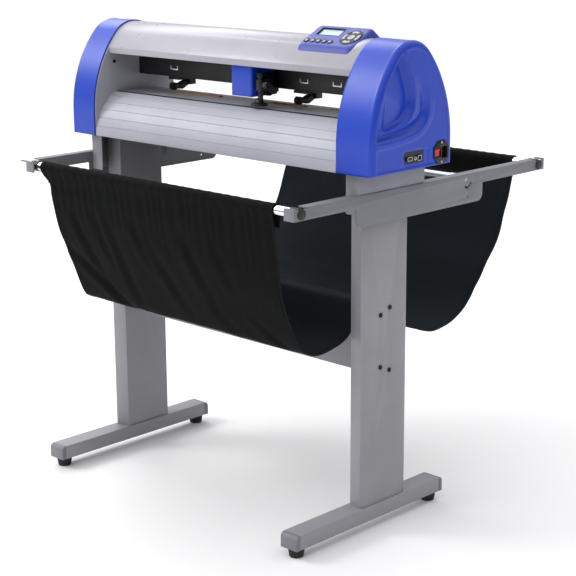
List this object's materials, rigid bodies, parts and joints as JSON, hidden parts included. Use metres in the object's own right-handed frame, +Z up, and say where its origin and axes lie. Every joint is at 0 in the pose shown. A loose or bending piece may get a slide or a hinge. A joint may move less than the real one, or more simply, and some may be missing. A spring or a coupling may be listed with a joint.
{
  "type": "vinyl cutter",
  "caption": "Floor-standing roll-fed vinyl cutter: domed cutting machine with sliding knife carriage and control panel, on a T-leg stand with a cloth media basket.",
  "frame": {"origin": "on the floor, at the centre of the object's footprint", "axes": "+X towards the operator's right, where the control panel is; -Y towards the operator; +Z up"},
  "size_m": [0.98, 0.854, 1.0971],
  "materials": {
    "stand_paint": "satin",
    "beam_plastic": "matte",
    "foot_rubber": "matte",
    "arm_paint": "satin",
    "rod_chrome": "polished",
    "plug_plastic": "matte",
    "basket_fabric": "woven",
    "roller_metal": "satin",
    "shell_blue": "gloss",
    "plate_paint": "satin",
    "cover_paint": "satin",
    "apron_paint": "satin",
    "strip_plastic": "matte",
    "rail_paint": "satin",
    "clip_metal": "satin",
    "panel_blue": "gloss",
    "lcd_film": "gloss",
    "port_plastic": "matte",
    "motor_paint": "satin",
    "board_green": "matte",
    "supply_case": "satin",
    "belt_rubber": "matte",
    "screw_black": "satin",
    "carriage_metal": "satin",
    "tool_black": "matte",
    "holder_metal": "satin",
    "blade_steel": "ground",
    "grit_copper": "knurled",
    "pinion_brass": "satin",
    "pulley_metal": "satin",
    "pinch_paint": "satin",
    "wheel_rubber": "matte",
    "button_silver": "gloss",
    "key_black": "gloss",
    "rocker_red": "gloss"
  },
  "bodies": {
    "machine": {"base_beams": "stand_paint", "beam_end_caps": "beam_plastic", "rubber_feet": "foot_rubber", "post_left": "stand_paint", "post_right": "stand_paint", "cross_beam": "stand_paint", "machine_saddles": "stand_paint", "arm_left": "arm_paint", "arm_right": "arm_paint", "basket_rods": "rod_chrome", "rod_plugs": "plug_plastic", "basket_cloth": "basket_fabric", "end_cap_left": "shell_blue", "end_cap_right": "shell_blue", "side_plates": "plate_paint", "base_pan": "plate_paint", "top_cover": "cover_paint", "front_apron": "apron_paint", "rear_apron": "apron_paint", "platen": "plate_paint", "cutting_strip": "strip_plastic", "rail_beam": "rail_paint", "position_clips": "clip_metal", "panel_housing": "panel_blue", "lcd_window": "lcd_film", "port_plate": "port_plastic", "power_inlet": "port_plastic", "stepper_motors": "motor_paint", "main_board": "board_green", "power_supply": "supply_case", "drive_belt": "belt_rubber", "fasteners": "screw_black"},
    "carriage": {"carriage_block": "carriage_metal", "carriage_cover": "shell_blue"},
    "tool": {"tool_slide": "tool_black", "blade_holder": "holder_metal"},
    "knob": {"clamp_knob": "tool_black"},
    "knife": {"blade": "blade_steel"},
    "grit_roller": {"grit_shaft": "grit_copper"},
    "pinion": {"feed_pinion": "pinion_brass"},
    "pulley_driven": {"drive_pulley": "pulley_metal"},
    "pulley_idle": {"idler_pulley": "pulley_metal"},
    "pinch_carrier_l": {"pinch_carrier_left": "pinch_paint"},
    "pinch_carrier_r": {"pinch_carrier_right": "pinch_paint"},
    "pinch_arm_l": {"pinch_arm_left": "pinch_paint"},
    "pinch_arm_r": {"pinch_arm_right": "pinch_paint"},
    "pinch_wheel_l": {"pinch_wheel_left": "wheel_rubber"},
    "pinch_wheel_r": {"pinch_wheel_right": "wheel_rubber"},
    "roller": {"media_roller": "roller_metal"},
    "button_1": {"menu_button_1": "button_silver"},
    "button_2": {"menu_button_2": "button_silver"},
    "button_3": {"menu_button_3": "button_silver"},
    "button_4": {"menu_button_4": "button_silver"},
    "button_5": {"menu_button_5": "button_silver"},
    "pad_up": {"key_up": "button_silver"},
    "pad_down": {"key_down": "button_silver"},
    "pad_left": {"key_left": "button_silver"},
    "pad_right": {"key_right": "button_silver"},
    "pad_enter": {"key_enter": "key_black"},
    "rocker": {"power_rocker": "rocker_red"}
  },
  "joints": [
    {"name": "carriage_slide", "type": "slide", "parent": "machine", "child": "carriage", "axis": [1, 0, 0], "range_m": [-0.405, 0.25]},
    {"name": "tool_lift", "type": "slide", "parent": "carriage", "child": "tool", "axis": [0, 0, 1], "range_m": [-0.004, 0], "stiffness_N_per_m": 200},
    {"name": "clamp_turn", "type": "hinge", "parent": "tool", "child": "knob", "pos_m": [0.096, -0.1745, 0.964], "axis": [1, 0, 0], "range_deg": [0, 360]},
    {"name": "blade_swivel", "type": "hinge", "parent": "tool", "child": "knife", "pos_m": [0.096, -0.1745, 0.93], "axis": [0, 0, 1], "continuous": true},
    {"name": "grit_shaft_spin", "type": "hinge", "parent": "machine", "child": "grit_roller", "pos_m": [0, -0.087, 0.9012], "axis": [1, 0, 0], "continuous": true},
    {"name": "pinion_spin", "type": "hinge", "parent": "machine", "child": "pinion", "pos_m": [0.4, -0.087, 0.8694], "axis": [1, 0, 0], "continuous": true},
    {"name": "drive_pulley_spin", "type": "hinge", "parent": "machine", "child": "pulley_driven", "pos_m": [0.43, -0.075, 1.03], "axis": [0, 0, 1], "range_deg": [-2200, 1380]},
    {"name": "idler_pulley_spin", "type": "hinge", "parent": "machine", "child": "pulley_idle", "pos_m": [-0.43, -0.075, 1.03], "axis": [0, 0, 1], "range_deg": [-2200, 1380]},
    {"name": "pinch_slide_left", "type": "slide", "parent": "machine", "child": "pinch_carrier_l", "axis": [1, 0, 0], "range_m": [-0.003, 0.15]},
    {"name": "pinch_slide_right", "type": "slide", "parent": "machine", "child": "pinch_carrier_r", "axis": [1, 0, 0], "range_m": [-0.12, 0.195]},
    {"name": "pinch_lift_left", "type": "hinge", "parent": "pinch_carrier_l", "child": "pinch_arm_l", "pos_m": [-0.2715, -0.058, 0.935], "axis": [-1, 0, 0], "range_deg": [0, 12]},
    {"name": "pinch_lift_right", "type": "hinge", "parent": "pinch_carrier_r", "child": "pinch_arm_r", "pos_m": [0.1485, -0.058, 0.935], "axis": [-1, 0, 0], "range_deg": [0, 12]},
    {"name": "pinch_spin_left", "type": "hinge", "parent": "pinch_arm_l", "child": "pinch_wheel_l", "pos_m": [-0.291, -0.087, 0.9235], "axis": [1, 0, 0], "continuous": true},
    {"name": "pinch_spin_right", "type": "hinge", "parent": "pinch_arm_r", "child": "pinch_wheel_r", "pos_m": [0.129, -0.087, 0.9235], "axis": [1, 0, 0], "continuous": true},
    {"name": "media_roller_spin", "type": "hinge", "parent": "machine", "child": "roller", "pos_m": [0, 0.128, 0.753], "axis": [1, 0, 0], "continuous": true},
    {"name": "press_button_1", "type": "slide", "parent": "machine", "child": "button_1", "axis": [0, 0.4695, -0.8829], "range_m": [0, 0.001], "stiffness_N_per_m": 300},
    {"name": "press_button_2", "type": "slide", "parent": "machine", "child": "button_2", "axis": [0, 0.4695, -0.8829], "range_m": [0, 0.001], "stiffness_N_per_m": 300},
    {"name": "press_button_3", "type": "slide", "parent": "machine", "child": "button_3", "axis": [0, 0.4695, -0.8829], "range_m": [0, 0.001], "stiffness_N_per_m": 300},
    {"name": "press_button_4", "type": "slide", "parent": "machine", "child": "button_4", "axis": [0, 0.4695, -0.8829], "range_m": [0, 0.001], "stiffness_N_per_m": 300},
    {"name": "press_button_5", "type": "slide", "parent": "machine", "child": "button_5", "axis": [0, 0.4695, -0.8829], "range_m": [0, 0.001], "stiffness_N_per_m": 300},
    {"name": "press_up", "type": "slide", "parent": "machine", "child": "pad_up", "axis": [0, 0.4695, -0.8829], "range_m": [0, 0.001], "stiffness_N_per_m": 300},
    {"name": "press_down", "type": "slide", "parent": "machine", "child": "pad_down", "axis": [0, 0.4695, -0.8829], "range_m": [0, 0.001], "stiffness_N_per_m": 300},
    {"name": "press_left", "type": "slide", "parent": "machine", "child": "pad_left", "axis": [0, 0.4695, -0.8829], "range_m": [0, 0.001], "stiffness_N_per_m": 300},
    {"name": "press_right", "type": "slide", "parent": "machine", "child": "pad_right", "axis": [0, 0.4695, -0.8829], "range_m": [0, 0.001], "stiffness_N_per_m": 300},
    {"name": "press_enter", "type": "slide", "parent": "machine", "child": "pad_enter", "axis": [0, 0.4695, -0.8829], "range_m": [0, 0.001], "stiffness_N_per_m": 300},
    {"name": "rocker_tip", "type": "hinge", "parent": "machine", "child": "rocker", "pos_m": [0.483, -0.036, 0.838], "axis": [0, 1, 0], "range_deg": [-14, 0]}
  ],
  "couplings": [
    {"joint": "pinion_spin", "follows": "grit_shaft_spin", "ratio": -2.5},
    {"joint": "pinch_spin_left", "follows": "grit_shaft_spin", "ratio": -1.4444},
    {"joint": "pinch_spin_right", "follows": "grit_shaft_spin", "ratio": -1.4444},
    {"joint": "drive_pulley_spin", "follows": "carriage_slide", "rad_per_m": 94.34},
    {"joint": "idler_pulley_spin", "follows": "carriage_slide", "rad_per_m": 94.34}
  ]
}
